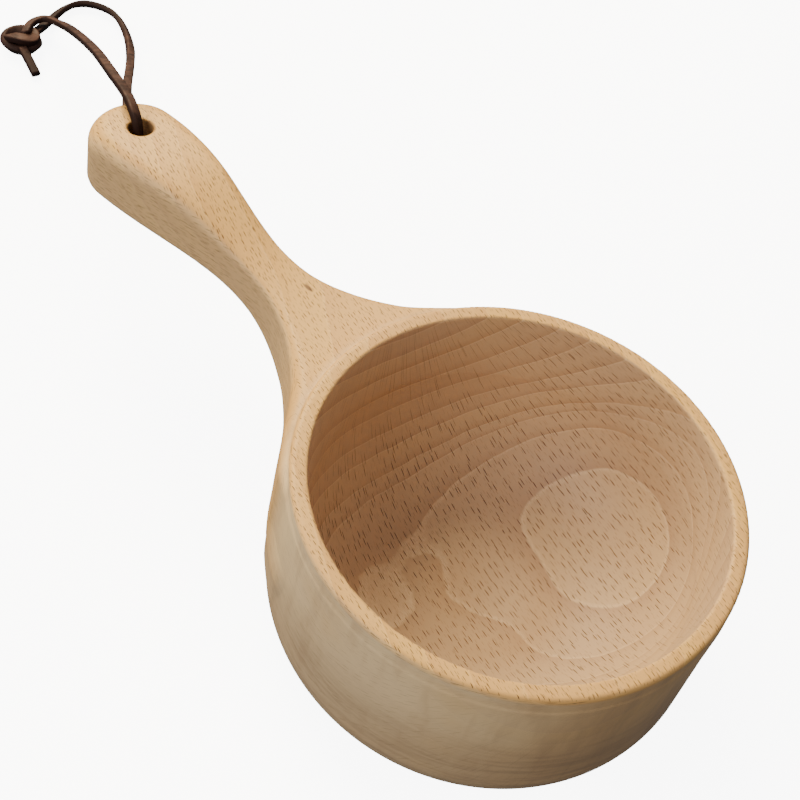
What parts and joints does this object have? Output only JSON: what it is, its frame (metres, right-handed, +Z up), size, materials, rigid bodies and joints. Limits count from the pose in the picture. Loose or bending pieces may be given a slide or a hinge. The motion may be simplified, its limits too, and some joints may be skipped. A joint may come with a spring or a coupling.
{
  "type": "water dipper",
  "caption": "Round one-piece beech ladle with a deep turned bowl, a short carved handle and a leather thong looped through a hole near the handle's tip.",
  "frame": {"origin": "centre of the bowl's flat base, on the bowl's turning axis", "axes": "+Z up along the bowl's turning axis, +X along the handle away from the bowl"},
  "size_m": [0.3217, 0.1322, 0.0703],
  "materials": {
    "beech": "sanded and lightly oiled, satin",
    "leather": "dark brown, worn satin"
  },
  "bodies": {
    "dipper": {"dipper_body": "beech"},
    "thong": {"thong_front_leg": "leather", "thong_rear_leg": "leather", "thong_knot": "leather", "thong_tail": "leather"}
  },
  "joints": [
    {"name": "thong_swing", "type": "hinge", "parent": "dipper", "child": "thong", "pos_m": [0.1466, 0, 0.05], "axis": [0, 0, 1], "range_deg": [-45, 90]}
  ]
}
